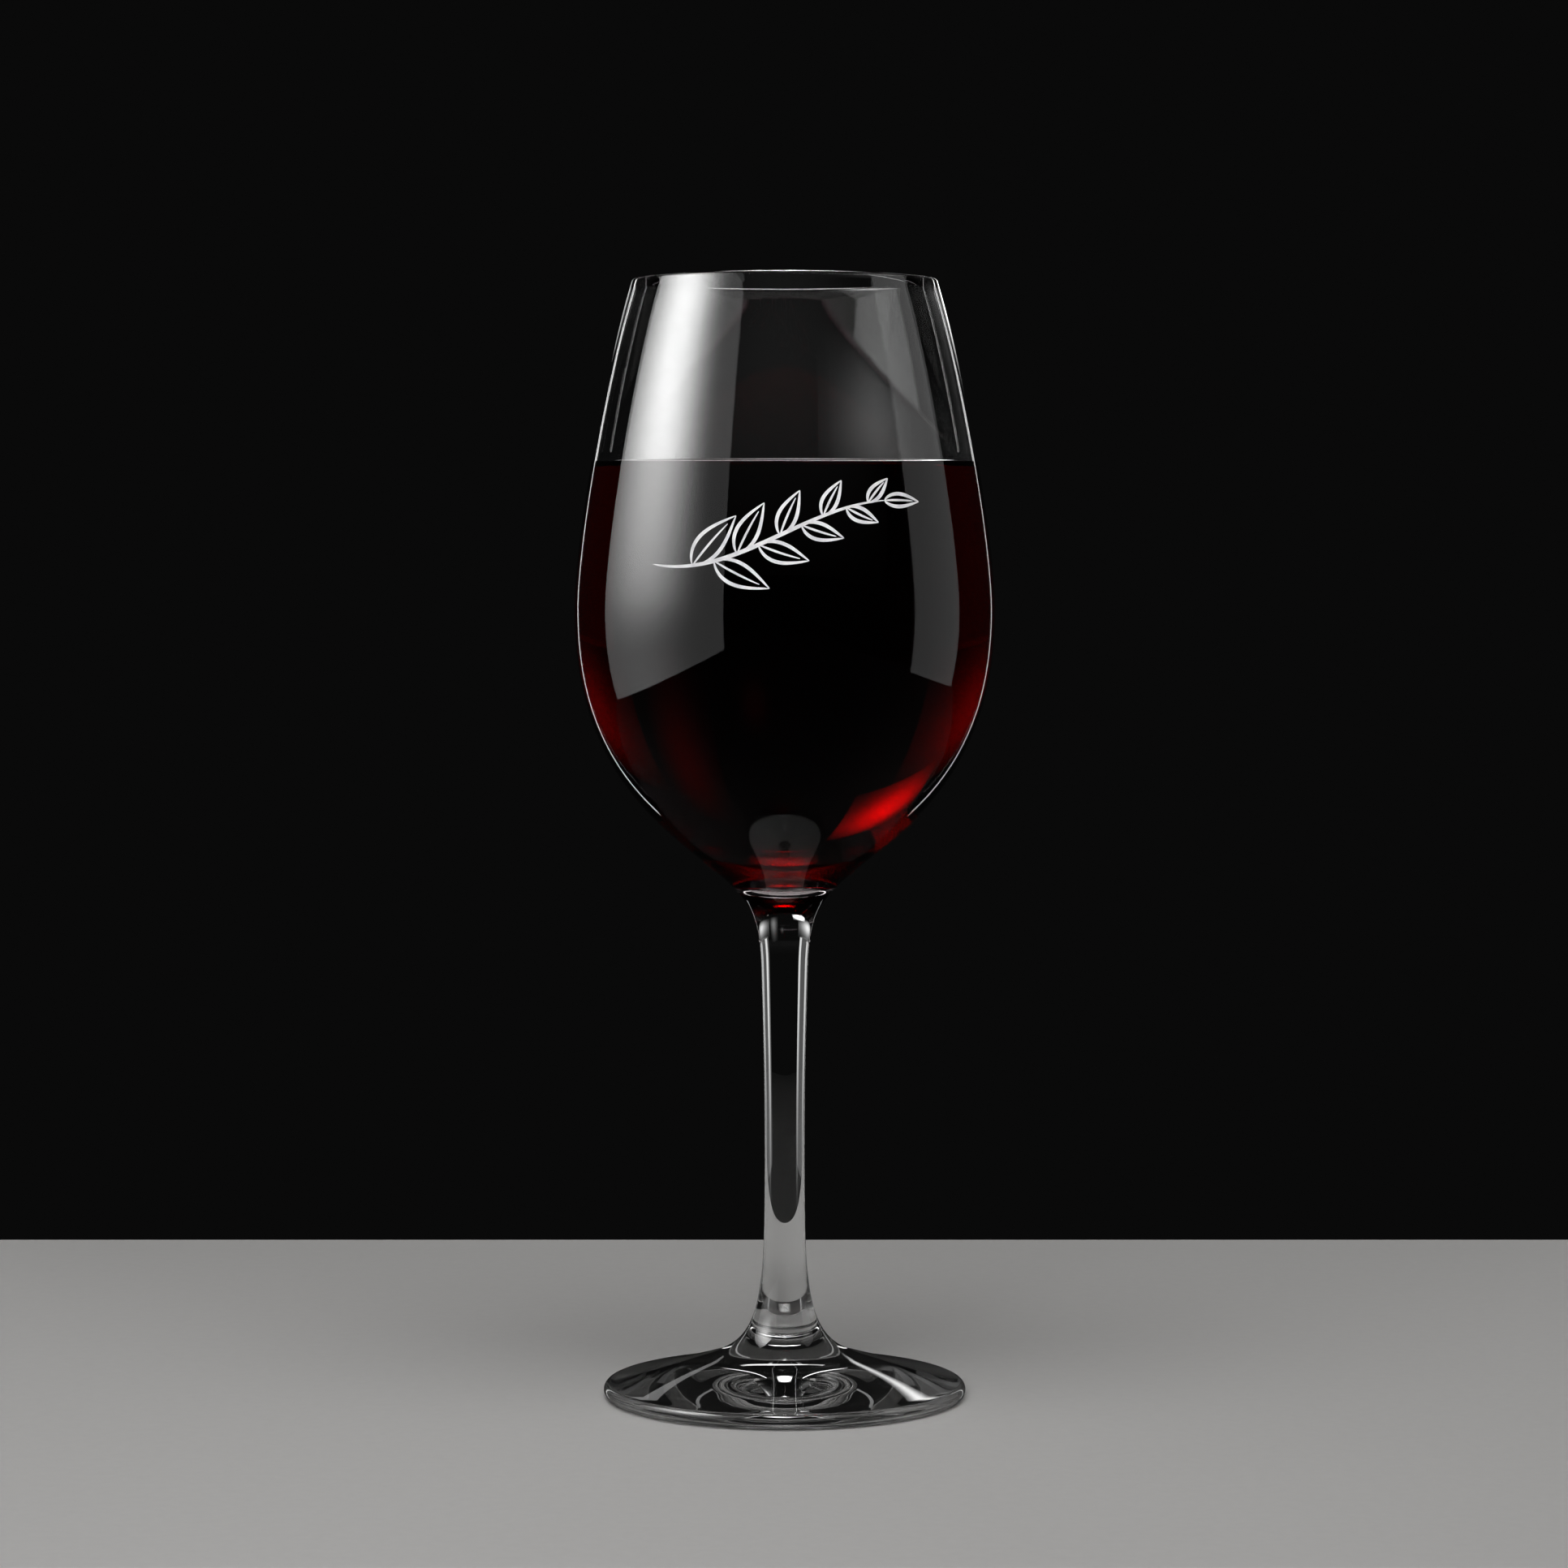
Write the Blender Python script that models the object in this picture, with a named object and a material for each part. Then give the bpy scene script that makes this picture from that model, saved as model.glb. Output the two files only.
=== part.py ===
"""A stemmed wine glass, about two thirds full of red wine.

The glass is one turned solid: a hollow bowl, a slim stem and a low foot. The wine is a second
turned solid that follows the inside of the bowl up to its level. Units are metres, +Z is up, and
the origin is the centre of the foot's base, on the surface that the glass stands on.
"""

import math
from typing import NamedTuple

import bmesh
import bpy
import numpy as np


class Station(NamedTuple):
    """A place on the turned outline, with the way the outline runs there on its way down."""

    radius: float
    height: float
    flare: float  # degrees from straight down, outwards positive


# Overall sizes
TOTAL_HEIGHT = 0.2200
FOOT_RADIUS = 0.0358
STEPS_ROUND = 56

# The outside of the glass, from the rim down to the foot
RIM_RADIUS = 0.0299
RIM_FLARE = 17.0
WIDEST = Station(0.0413, 0.1553, 0.0)
KNEE = Station(0.0210, 0.1101, -49.8)
NECK = Station(0.00465, 0.0854, -1.7)
WAIST = Station(0.00394, 0.0480, 0.0)
ANKLE = Station(0.00448, 0.0251, 5.7)
TOE = Station(0.0154, 0.0079, 73.0)

# How far each curve keeps its direction: leaving the upper station, then reaching the lower one
UPPER_BOWL_PULL = (0.0195, 0.0132)
LOWER_BOWL_PULL = (0.0231, 0.0145)
NECK_PULL = (0.0152, 0.0138)
UPPER_STEM_PULL = (0.0151, 0.0120)
LOWER_STEM_PULL = (0.0098, 0.0042)
FLARE_PULL = (0.0105, 0.0080)
FOOT_PULL = (0.0070, 0.0080)

# Glass thickness, measured square to the outside
WALL_AT_RIM = 0.0011
WALL_AT_WIDEST = 0.0012
WALL_AT_KNEE = 0.0018
BOWL_FLOOR = 0.1016  # height of the lowest point inside the bowl
BOWL_FLOOR_PULL = (0.0105, 0.0060)

# The foot's rounded edge, and its slightly hollow underside
EDGE_ROUND = 0.0015
EDGE_SLOPE = 79.0
REST_INNER_RADIUS = 0.0290
HOLLOW_DEPTH = 0.0009

# Wine
WINE_LEVEL = 0.1838
WINE_CLEARANCE = 0.0003  # gap to the glass, so that the two solids never touch
WINE_SIDE_POINTS = 16

FINE = 400  # points used to follow a curve before it is divided evenly


def heading(flare):
    """The unit direction of an outline that runs down at this many degrees from vertical."""
    angle = math.radians(flare)
    return np.array((math.sin(angle), -math.cos(angle)))


def outward(flare):
    """The unit normal, pointing out of the glass, of an outline with this heading."""
    angle = math.radians(flare)
    return np.array((math.cos(angle), math.sin(angle)))


def curve(upper, lower, pulls, steps):
    """A cubic Bezier from one station down to the next, as steps + 1 rows of radius and height."""
    leave, reach = pulls
    start = np.array((upper.radius, upper.height))
    end = np.array((lower.radius, lower.height))
    start_handle = start + leave * heading(upper.flare)
    end_handle = end - reach * heading(lower.flare)
    t = np.linspace(0.0, 1.0, steps + 1)[:, None]
    s = 1.0 - t
    return s**3 * start + 3 * s**2 * t * start_handle + 3 * s * t**2 * end_handle + t**3 * end


def arc(centre, radius, first, last, steps):
    """A circular arc between two angles in degrees, counted from +radius towards +height."""
    angles = np.radians(np.linspace(first, last, steps + 1))[:, None]
    return np.array(centre) + radius * np.hstack((np.cos(angles), np.sin(angles)))


def joined(*runs):
    """Runs placed end to end, each without the first point that it shares with the last run."""
    return np.vstack((runs[0], *(run[1:] for run in runs[1:])))


def thinned(station, wall):
    """The station on the inside of the glass that faces this one."""
    radius, height = np.array(station[:2]) - wall * outward(station.flare)
    return Station(radius, height, station.flare)


def divided(points, count):
    """The same line with count + 1 points at equal distances along it."""
    runs = np.hypot(*np.diff(points, axis=0).T)
    along = np.concatenate(((0.0,), np.cumsum(runs)))
    places = np.linspace(0.0, along[-1], count + 1)
    return np.column_stack([np.interp(places, along, points[:, k]) for k in (0, 1)])


def rim_centre():
    """The centre of the rim's half-round crest."""
    half = WALL_AT_RIM / 2
    return np.array((RIM_RADIUS - half * math.cos(math.radians(RIM_FLARE)), TOTAL_HEIGHT - half))


def rim_station(side):
    """Where the crest meets the outside (side +1) or the inside (side -1) of the bowl."""
    radius, height = rim_centre() + side * WALL_AT_RIM / 2 * outward(RIM_FLARE)
    return Station(radius, height, RIM_FLARE)


def inside_of_bowl(steps):
    """The inner wall from the rim down to the lowest point, with steps points to each curve."""
    widest = thinned(WIDEST, WALL_AT_WIDEST)
    knee = thinned(KNEE, WALL_AT_KNEE)
    floor = Station(0.0, BOWL_FLOOR, -90.0)
    return joined(
        curve(rim_station(-1), widest, UPPER_BOWL_PULL, steps),
        curve(widest, knee, LOWER_BOWL_PULL, steps),
        curve(knee, floor, BOWL_FLOOR_PULL, steps),
    )


def outside_of_glass():
    """The outer wall from the rim down the bowl, the stem and the top of the foot."""
    edge = np.array((FOOT_RADIUS - EDGE_ROUND, EDGE_ROUND)) + EDGE_ROUND * outward(EDGE_SLOPE)
    foot = Station(edge[0], edge[1], EDGE_SLOPE)
    return joined(
        curve(rim_station(1), WIDEST, UPPER_BOWL_PULL, 8),
        curve(WIDEST, KNEE, LOWER_BOWL_PULL, 8),
        curve(KNEE, NECK, NECK_PULL, 9),
        curve(NECK, WAIST, UPPER_STEM_PULL, 4),
        curve(WAIST, ANKLE, LOWER_STEM_PULL, 3),
        curve(ANKLE, TOE, FLARE_PULL, 8),
        curve(TOE, foot, FOOT_PULL, 5),
    )


def underside():
    """From the foot's rounded edge over the flat resting ring to the middle of the hollow."""
    ring_radius = FOOT_RADIUS - EDGE_ROUND
    pull = REST_INNER_RADIUS / 3
    return joined(
        arc((ring_radius, EDGE_ROUND), EDGE_ROUND, EDGE_SLOPE, -90.0, 6),
        np.array(((ring_radius, 0.0), (REST_INNER_RADIUS, 0.0))),
        curve(Station(REST_INNER_RADIUS, 0.0, -90.0), Station(0.0, HOLLOW_DEPTH, -90.0), (pull, pull), 4),
    )


def crest():
    """The half-round top of the rim, from the inside over its highest point to the outside."""
    return joined(
        arc(rim_centre(), WALL_AT_RIM / 2, 180.0 + RIM_FLARE, 90.0, 3),
        arc(rim_centre(), WALL_AT_RIM / 2, 90.0, RIM_FLARE, 2),
    )


def glass_outline():
    """The closed section of the glass, from the bowl's floor up, over the rim and down."""
    return joined(inside_of_bowl(8)[::-1], crest(), outside_of_glass(), underside())


def wine_outline():
    """The section of the wine: the flat surface, then down just inside the bowl to its floor."""
    wall = inside_of_bowl(FINE)
    run = np.gradient(wall, axis=0)
    run /= np.hypot(run[:, 0], run[:, 1])[:, None]
    side = wall - WINE_CLEARANCE * np.column_stack((-run[:, 1], run[:, 0]))
    side[-1, 0] = 0.0
    edge_radius = np.interp(-WINE_LEVEL, -side[:, 1], side[:, 0])
    below = side[side[:, 1] < WINE_LEVEL]
    wet = np.vstack(((edge_radius, WINE_LEVEL), below))
    surface = np.array(((0.0, WINE_LEVEL), (edge_radius / 2, WINE_LEVEL), (edge_radius, WINE_LEVEL)))
    return joined(surface, divided(wet, WINE_SIDE_POINTS))


def finish(name, colour, roughness, transmission, ior):
    """A Principled material for a clear body."""
    material = bpy.data.materials.new(name)
    material.use_nodes = True
    shader = material.node_tree.nodes["Principled BSDF"]
    shader.inputs["Base Color"].default_value = (*colour, 1.0)
    shader.inputs["Roughness"].default_value = roughness
    shader.inputs["Metallic"].default_value = 0.0
    shader.inputs["Transmission Weight"].default_value = transmission
    shader.inputs["IOR"].default_value = ior
    return material


def turned(name, outline, material):
    """A solid of revolution about Z from rows of radius and height."""
    mesh = bpy.data.meshes.new(name)
    outline_mesh = bmesh.new()
    points = [outline_mesh.verts.new((radius, 0.0, height)) for radius, height in outline]
    for upper, lower in zip(points, points[1:]):
        outline_mesh.edges.new((upper, lower))
    outline_mesh.to_mesh(mesh)
    outline_mesh.free()
    body = bpy.data.objects.new(name, mesh)
    bpy.context.scene.collection.objects.link(body)
    mesh.materials.append(material)
    lathe = body.modifiers.new("turned about the axis", "SCREW")
    lathe.axis = "Z"
    lathe.angle = math.tau
    lathe.steps = STEPS_ROUND
    lathe.render_steps = STEPS_ROUND
    lathe.use_merge_vertices = True
    lathe.merge_threshold = 0.00001
    lathe.use_smooth_shade = True
    return body


def main():
    """Clear the scene and make the glass and its wine."""
    for old in list(bpy.context.scene.objects):
        bpy.data.objects.remove(old, do_unlink=True)
    clear_glass = finish("clear glass", (0.96, 0.97, 0.97), 0.02, 1.0, 1.52)
    dark_wine = finish("red wine", (0.13, 0.004, 0.012), 0.05, 0.35, 1.34)
    turned("wine_glass", glass_outline(), clear_glass)
    turned("red_wine", wine_outline(), dark_wine)


main()
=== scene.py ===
"""The looks of a stemmed wine glass, about two thirds full of red wine.

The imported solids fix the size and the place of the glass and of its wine. This script turns both
again as fine surfaces from the same sizes, dresses them as clear glass and dark wine, etches a
leaf sprig into the front of the bowl, and sets them on a pale floor between a few soft boxes.
Units are metres, +Z is up, and the origin is the centre of the foot's base.
"""

import logging
import math
from dataclasses import dataclass
from enum import Enum
from typing import Any, NamedTuple

import bpy
import numpy as np
from mathutils import Matrix, Vector

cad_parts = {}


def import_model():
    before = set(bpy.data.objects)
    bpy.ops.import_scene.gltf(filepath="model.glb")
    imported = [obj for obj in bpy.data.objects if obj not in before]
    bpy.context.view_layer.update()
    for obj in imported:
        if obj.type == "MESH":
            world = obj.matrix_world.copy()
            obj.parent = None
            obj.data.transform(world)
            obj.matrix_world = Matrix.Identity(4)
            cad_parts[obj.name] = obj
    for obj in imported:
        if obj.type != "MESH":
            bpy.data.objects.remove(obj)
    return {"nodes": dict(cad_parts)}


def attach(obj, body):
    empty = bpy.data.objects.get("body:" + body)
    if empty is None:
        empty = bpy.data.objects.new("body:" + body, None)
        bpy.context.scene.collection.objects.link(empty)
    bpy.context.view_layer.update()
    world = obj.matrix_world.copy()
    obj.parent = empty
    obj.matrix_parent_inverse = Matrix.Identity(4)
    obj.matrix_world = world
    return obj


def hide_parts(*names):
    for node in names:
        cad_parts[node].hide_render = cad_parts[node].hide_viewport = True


LOG = logging.getLogger("glass_of_wine")

Pair = tuple[float, float]
Triple = tuple[float, float, float]
Colour = tuple[float, float, float, float]

IMAGE_SIDE = 1932  # pixels across and down the picture
BODY = "root"
STEPS_ROUND = 256
CREASE = math.radians(40.0)  # on a flat-sided piece, edges that turn by more than this stay sharp
BOUNCES = 32  # enough for nested glass
UPWARDS = (0.0, 0.0, 1.0)
AWAY = (0.0, 1.0, 0.0)  # from the camera to the back of the studio
BOWL_MIDDLE = (0.0, 0.0, 0.13)
STEM_MIDDLE = (0.0, 0.0, 0.06)

# How a glowing soft box glows: in a bell round one place along Y, and brighter the higher
GLOW_MIDDLE = -0.07
GLOW_WIDTH = 0.085
GLOW_LOW = 0.10
GLOW_HIGH = 0.30
GLOW_FOOT = 0.08  # the bell's share that is left at the lower height
GLOW_SHARE = 0.062  # the even light under the bell

# How the other soft boxes fade
ROUND_SPREAD = 0.22  # the bell's width on a round soft box, as a share of its side
FALL_LOW = 0.0  # a falling soft box is dark at this height
FALL_HIGH = 0.08  # and at its brightest from this height up
FLAG_EDGE = 0.012  # metres over which a flagged light fades out

# Which rays a lamp counts, and what power it takes
MIRRORED_ONCE = 0.5  # a ray was mirrored if its count of mirrors is over this
MIRRORED_TWICE = 1.5  # and twice or more if it is over this
SECOND_MIRROR = 0.12  # how much of a mirrored light is left where it is seen by way of two mirrors
LAMP_POWER = 4.0  # watts to the square metre that give an area lamp a radiance of one


class Slot(Enum):
    """The record's material slots."""

    GLASS = "clear_glass"
    WINE = "red_wine"


class Feather(Enum):
    """How a soft box's light is spread over its face."""

    EVEN = "even"
    GLOWING = "glowing"  # brightest round one place along Y, and the higher
    ROUND = "round"  # fading from its centre
    FALLING = "falling"  # fading downwards


class Sight(Enum):
    """Which rays meet a soft box."""

    GLASS = "glass"  # every ray from glass or wine
    MIRRORED = "mirrored"  # those of them that were mirrored on their way
    THROUGH = "through"  # those of them that never were
    MATT = "matt"  # rays from matt surfaces alone


class Shade:
    """A node socket on which Python's operators add Math nodes."""

    def __init__(self, recipe: "Recipe", socket: bpy.types.NodeSocket) -> None:
        """Keep the socket and the recipe that it belongs to."""
        self.recipe = recipe
        self.socket = socket

    def _math(self, operation: str, first: Any, second: Any) -> "Shade":
        """One Math node on two numbers or shades."""
        return self.recipe.add("ShaderNodeMath", {"operation": operation}, {0: first, 1: second})

    def __add__(self, other: Any) -> "Shade":
        """self + other."""
        return self._math("ADD", self, other)

    def __radd__(self, other: Any) -> "Shade":
        """other + self."""
        return self._math("ADD", other, self)

    def __sub__(self, other: Any) -> "Shade":
        """self - other."""
        return self._math("SUBTRACT", self, other)

    def __rsub__(self, other: Any) -> "Shade":
        """other - self."""
        return self._math("SUBTRACT", other, self)

    def __mul__(self, other: Any) -> "Shade":
        """self * other."""
        return self._math("MULTIPLY", self, other)

    def __rmul__(self, other: Any) -> "Shade":
        """other * self."""
        return self._math("MULTIPLY", other, self)

    def __truediv__(self, other: Any) -> "Shade":
        """self / other."""
        return self._math("DIVIDE", self, other)

    def __rtruediv__(self, other: Any) -> "Shade":
        """other / self."""
        return self._math("DIVIDE", other, self)

    def __gt__(self, other: Any) -> "Shade":
        """1 where self is greater than other, else 0."""
        return self._math("GREATER_THAN", self, other)

    def __lt__(self, other: Any) -> "Shade":
        """1 where self is less than other, else 0."""
        return self._math("LESS_THAN", self, other)


class Recipe:
    """A node tree that is written from scratch."""

    def __init__(self, tree: bpy.types.NodeTree) -> None:
        """Empty the tree.

        Args:
            tree: The node tree of a material, a light or the world.
        """
        self.tree = tree
        tree.nodes.clear()

    def add(self, kind: str, settings: dict[str, Any] | None = None,
            inputs: dict[str | int, Any] | None = None, output: str | int = 0) -> Shade:
        """Add one node.

        Args:
            kind: The node's type.
            settings: Its settings, which are set first.
            inputs: Values or shades for its sockets, by name or number.
            output: The socket that is handed back.

        Returns:
            The node's output, or the first input of a node that has none.
        """
        node = self.tree.nodes.new(kind)
        for name, value in (settings or {}).items():
            setattr(node, name, value)
        for name, value in (inputs or {}).items():
            if isinstance(value, Shade):
                self.tree.links.new(value.socket, node.inputs[name])
            else:
                node.inputs[name].default_value = value
        return Shade(self, node.outputs[output] if len(node.outputs) else node.inputs[0])

    def place(self) -> Shade:
        """The point on the piece, in the piece's own coordinates."""
        return self.add("ShaderNodeTexCoord", output="Object")

    def noise(self, where: Shade, scale: float, detail: float = 2.0) -> Shade:
        """Soft random values from 0 to 1.

        Args:
            where: The coordinates that it reads.
            scale: Waves to the metre.
            detail: How many finer layers it has.

        Returns:
            The noise's value.
        """
        return self.add("ShaderNodeTexNoise", inputs={"Vector": where, "Scale": scale, "Detail": detail})

    def blend(self, factor: Shade | float, first: Any, second: Any) -> Shade:
        """A colour between two colours.

        Args:
            factor: 0 gives the first colour and 1 the second.
            first: A colour or a shade.
            second: A colour or a shade.

        Returns:
            The mixed colour.
        """
        settings = {"data_type": "RGBA"}
        return self.add("ShaderNodeMix", settings, {0: factor, 6: first, 7: second}, output=2)

    def ramp(self, value: Shade, low: float, high: float) -> Shade:
        """A smooth step from 0 to 1 as value goes from low to high."""
        settings = {"interpolation_type": "SMOOTHSTEP"}
        return self.add("ShaderNodeMapRange", settings, {"Value": value, "From Min": low, "From Max": high})

    def bell(self, off: Shade) -> Shade:
        """e to the minus half of the square of off."""
        return self.add("ShaderNodeMath", {"operation": "EXPONENT"}, {0: off * off * -0.5})

    def along(self, off: Shade, direction: Vector | Triple) -> Shade:
        """How far off lies along a direction."""
        settings = {"operation": "DOT_PRODUCT"}
        return self.add("ShaderNodeVectorMath", settings, {0: off, 1: direction}, output="Value")

    def bump(self, height: Shade, depth: float) -> Shade:
        """A normal that stands for relief.

        Args:
            height: The relief from 0 to 1.
            depth: The height in metres that 1 stands for.

        Returns:
            The normal.
        """
        return self.add("ShaderNodeBump", inputs={"Height": height, "Distance": depth, "Strength": 1.0})

    def finish(self, surface: Shade, volume: Shade | None = None) -> None:
        """Join the material's output to its shaders.

        Args:
            surface: The surface's shader.
            volume: The volume's shader, if there is one.
        """
        inputs = {"Surface": surface}
        if volume is not None:
            inputs["Volume"] = volume
        self.add("ShaderNodeOutputMaterial", inputs=inputs)


def new_material(name: str) -> tuple[bpy.types.Material, Recipe]:
    """A new material.

    Args:
        name: The material's name.

    Returns:
        The material and its empty recipe.
    """
    material = bpy.data.materials.new(name)
    material.use_nodes = True
    return material, Recipe(material.node_tree)


def grey(value: float) -> Colour:
    """An opaque grey."""
    return (value, value, value, 1.0)


@dataclass(frozen=True)
class ClearGlass:
    """Smooth drawn crystal with the faint waviness that keeps its highlights alive.

    Where liquid lies against the glass the two indices almost match, so next to nothing is
    mirrored there straight on, and the specular tint is dark.
    """

    name: str = "clear crystal"
    index: float = 1.52
    mirror_tint: float = 1.0
    tint: Colour = (0.985, 0.995, 0.992, 1.0)
    waves: float = 70.0  # to the metre
    wave_height: float = 0.000016
    clouds: float = 35.0  # to the metre

    def material(self) -> bpy.types.Material:
        """Mix the finish.

        Returns:
            Clear glass with waviness in its normal and a breath of tint.
        """
        material, recipe = new_material(self.name)
        place = recipe.place()
        swell = recipe.noise(place, self.waves, detail=1.0)
        cloud = recipe.noise(place, self.clouds)
        glass = recipe.add("ShaderNodeBsdfPrincipled", inputs={
            "Base Color": recipe.blend(cloud, self.tint, grey(1.0)),
            "Roughness": 0.0,
            "IOR": self.index,
            "Transmission Weight": 1.0,
            "Specular Tint": grey(self.mirror_tint),
            "Normal": recipe.bump(swell, self.wave_height),
        })
        recipe.finish(glass)
        return material


@dataclass(frozen=True)
class RedWine:
    """Dark red wine: crimson where it is thin and nearly black where it is deep."""

    name: str = "deep red wine"
    index: float = 1.34
    absorbed: Triple = (42.0, 600.0, 420.0)  # to the metre, for red, green and blue
    haze: Colour = (1.0, 0.985, 0.985, 1.0)
    waves: float = 45.0  # to the metre
    wave_height: float = 0.000004
    open_faces: str = "open_to_air"  # the mesh attribute that is 1 where the wine meets air and not glass

    def material(self) -> bpy.types.Material:
        """Mix the finish.

        Only the open surface mirrors, by its coat: the sides lie against glass, where next to
        nothing is mirrored straight on.

        Returns:
            A clear surface round a volume that soaks up green and blue first.
        """
        material, recipe = new_material(self.name)
        place = recipe.place()
        haze = recipe.noise(place, self.waves)
        open_share = recipe.add("ShaderNodeAttribute", {"attribute_name": self.open_faces}, output="Fac")
        surface = recipe.add("ShaderNodeBsdfPrincipled", inputs={
            "Base Color": recipe.blend(haze, self.haze, grey(1.0)),
            "Roughness": 0.0,
            "IOR": self.index,
            "Transmission Weight": 1.0,
            "Specular Tint": grey(0.0),
            "Coat Weight": open_share,
            "Coat Roughness": 0.0,
            "Coat IOR": self.index,
            "Normal": recipe.bump(haze, self.wave_height),
        })
        density = max(self.absorbed)
        kept = [1.0 - share / density for share in self.absorbed]
        volume = recipe.add("ShaderNodeVolumeAbsorption", inputs={"Color": (*kept, 1.0), "Density": density})
        recipe.finish(surface, volume)
        return material


@dataclass(frozen=True)
class FrostedEtch:
    """Glass that was cut away to a fine white frost, denser in some places than in others."""

    name: str = "frosted etch"
    frost: Colour = (0.93, 0.93, 0.94, 1.0)
    thinner: Colour = (0.70, 0.70, 0.73, 1.0)
    clouds: float = 420.0  # to the metre
    cloud_low: float = 0.35  # the noise at which the frost starts to thin
    cloud_high: float = 0.75  # and at which it is thinnest
    grain: float = 9000.0  # to the metre
    grain_height: float = 0.000012
    smoothest: float = 0.6
    roughest: float = 0.9
    gloss: float = 0.3

    def material(self) -> bpy.types.Material:
        """Mix the finish.

        Returns:
            A rough white with clouds in its colour and grain in its normal.
        """
        material, recipe = new_material(self.name)
        place = recipe.place()
        cloud = recipe.ramp(recipe.noise(place, self.clouds, detail=3.0), self.cloud_low, self.cloud_high)
        grain = recipe.noise(place, self.grain)
        frost = recipe.add("ShaderNodeBsdfPrincipled", inputs={
            "Base Color": recipe.blend(cloud, self.frost, self.thinner),
            "Roughness": recipe.ramp(grain, 0.0, 1.0) * (self.roughest - self.smoothest) + self.smoothest,
            "Specular IOR Level": self.gloss,
            "Normal": recipe.bump(grain, self.grain_height),
        })
        recipe.finish(frost)
        return material


@dataclass(frozen=True)
class PaleFloor:
    """A plain pale matt board."""

    name: str = "pale board"
    colour: Colour = (0.62, 0.61, 0.60, 1.0)
    darker: Colour = (0.58, 0.57, 0.56, 1.0)
    grain: float = 400.0  # to the metre
    roughness: float = 0.6
    gloss: float = 0.2

    def material(self) -> bpy.types.Material:
        """Mix the finish.

        Returns:
            Two close greys mixed by a fine grain.
        """
        material, recipe = new_material(self.name)
        grain = recipe.noise(recipe.place(), self.grain, detail=3.0)
        board = recipe.add("ShaderNodeBsdfPrincipled", inputs={
            "Base Color": recipe.blend(grain, self.colour, self.darker),
            "Roughness": self.roughness,
            "Specular IOR Level": self.gloss,
        })
        recipe.finish(board)
        return material


class Station(NamedTuple):
    """A place on a turned outline, with the way the outline runs there on its way down."""

    radius: float
    height: float
    flare: float  # degrees from straight down, outwards positive

    def point(self) -> np.ndarray:
        """Radius and height."""
        return np.array((self.radius, self.height))

    def heading(self) -> np.ndarray:
        """The unit direction in which the outline runs down."""
        angle = math.radians(self.flare)
        return np.array((math.sin(angle), -math.cos(angle)))

    def outward(self) -> np.ndarray:
        """The unit normal that points away from the axis side of the wall."""
        angle = math.radians(self.flare)
        return np.array((math.cos(angle), math.sin(angle)))

    def moved(self, distance: float) -> "Station":
        """The station this far out along its normal."""
        radius, height = self.point() + distance * self.outward()
        return Station(radius, height, self.flare)


def bezier(start: np.ndarray, start_handle: np.ndarray, end_handle: np.ndarray, end: np.ndarray,
           steps: int) -> np.ndarray:
    """A cubic Bezier: with s = 1 - t, its points weigh s cubed, 3 s s t, 3 s t t and t cubed.

    Args:
        start: The first point.
        start_handle: The point that the curve leaves towards.
        end_handle: The point that it arrives from.
        end: The last point.
        steps: The number of stretches.

    Returns:
        steps + 1 rows of two numbers.
    """
    t = np.linspace(0.0, 1.0, steps + 1)[:, None]
    s = 1.0 - t
    return s**3 * start + 3 * s**2 * t * start_handle + 3 * s * t**2 * end_handle + t**3 * end


def curve(upper: Station, lower: Station, pulls: Pair, steps: int) -> np.ndarray:
    """A cubic Bezier from one station down to the next.

    The two handles lie along the stations' headings: the first below the upper station by its
    pull, and the second above the lower station by its own.

    Args:
        upper: Where the curve starts.
        lower: Where it ends.
        pulls: How far it keeps each station's heading.
        steps: The number of stretches.

    Returns:
        steps + 1 rows of radius and height.
    """
    start, end = upper.point(), lower.point()
    start_handle = start + pulls[0] * upper.heading()
    end_handle = end - pulls[1] * lower.heading()
    return bezier(start, start_handle, end_handle, end, steps)


def arc(centre: np.ndarray, radius: float, first: float, last: float, steps: int) -> np.ndarray:
    """A circular arc: the centre plus the radius times cosine and sine of an even sweep.

    Args:
        centre: Radius and height of the arc's centre.
        radius: The arc's own radius.
        first: The starting angle in degrees, counted from +radius towards +height.
        last: The closing angle in degrees.
        steps: The number of stretches.

    Returns:
        steps + 1 rows of radius and height.
    """
    angles = np.radians(np.linspace(first, last, steps + 1))[:, None]
    return centre + radius * np.hstack((np.cos(angles), np.sin(angles)))


def joined(*runs: np.ndarray) -> np.ndarray:
    """Runs placed end to end, each without the first point that it shares with the last run."""
    return np.vstack((runs[0], *(run[1:] for run in runs[1:])))


def divided(points: np.ndarray, count: int) -> np.ndarray:
    """The same line with its points at equal distances along it.

    Args:
        points: Rows of two numbers.
        count: The number of stretches.

    Returns:
        count + 1 rows of two numbers.
    """
    runs = np.hypot(*np.diff(points, axis=0).T)
    along = np.concatenate(((0.0,), np.cumsum(runs)))
    places = np.linspace(0.0, along[-1], count + 1)
    return np.column_stack([np.interp(places, along, points[:, k]) for k in (0, 1)])


def left_of(path: np.ndarray) -> np.ndarray:
    """The unit normals on the left of a path: its direction (u, v) at each point, turned to (-v, u).

    Args:
        path: Rows of two numbers.

    Returns:
        One row for each point.
    """
    run = np.gradient(path, axis=0)
    run /= np.hypot(run[:, 0], run[:, 1])[:, None]
    return np.column_stack((-run[:, 1], run[:, 0]))


class Surface(NamedTuple):
    """A mesh as arrays: rows of points, and rows of point numbers for its faces."""

    points: np.ndarray
    quads: np.ndarray
    triangles: np.ndarray = np.empty((0, 3), dtype=int)


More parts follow.
